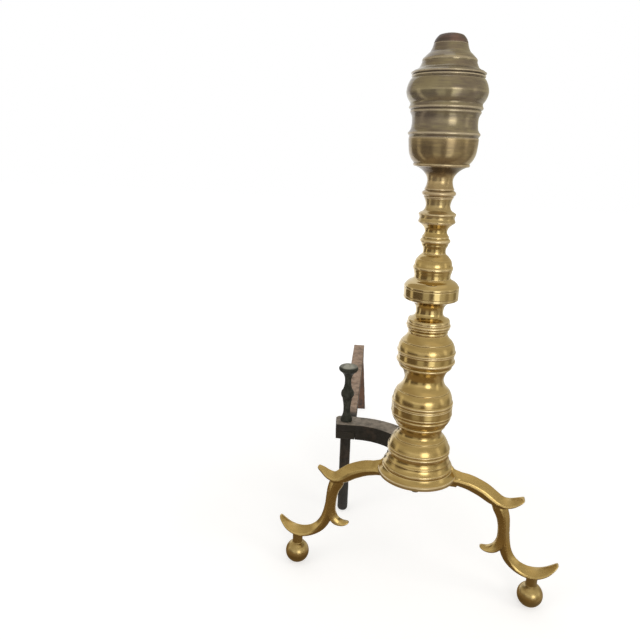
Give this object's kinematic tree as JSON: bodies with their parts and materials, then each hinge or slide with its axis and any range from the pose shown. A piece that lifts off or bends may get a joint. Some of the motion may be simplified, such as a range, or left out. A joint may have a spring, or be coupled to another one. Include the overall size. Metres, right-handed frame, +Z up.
{
  "type": "andiron",
  "caption": "Fireplace andiron: turned brass column on scrolled brass legs with ball feet, and a dog-leg iron log rest with a knob stop.",
  "frame": {"origin": "on the hearth, straight under the axis of the brass column", "axes": "+Z up along the column, +X towards the right leg, -Y the front, +Y back along the log rest"},
  "size_m": [0.3337, 0.5517, 0.61],
  "materials": {
    "button_brass": "dark red-brown patina",
    "tarnished_brass": "worn grey-olive patina",
    "brass": "polished, lightly tarnished",
    "black_iron": "sooty wrought iron",
    "rusty_iron": "wrought iron with rust"
  },
  "bodies": {
    "root": {"top_button": "button_brass", "finial_lid": "tarnished_brass", "finial_drum": "tarnished_brass", "finial_cup": "tarnished_brass", "finial_stem": "tarnished_brass", "upper_spool": "brass", "lower_spool": "brass", "ring_bulb": "brass", "collar": "brass", "neck_ring": "brass", "upper_bulb": "brass", "lower_bulb": "brass", "base_bell": "brass", "base_skirt": "brass", "base_plate": "brass", "left_leg": "brass", "right_leg": "brass", "leg_rivets": "brass", "left_ball_foot": "tarnished_brass", "right_ball_foot": "tarnished_brass", "tie_rod": "black_iron", "tie_washer": "black_iron", "tie_nut": "black_iron", "arc_bar": "black_iron", "billet_bar": "rusty_iron", "corner_leg": "black_iron", "log_stop": "black_iron"}
  },
  "joints": []
}
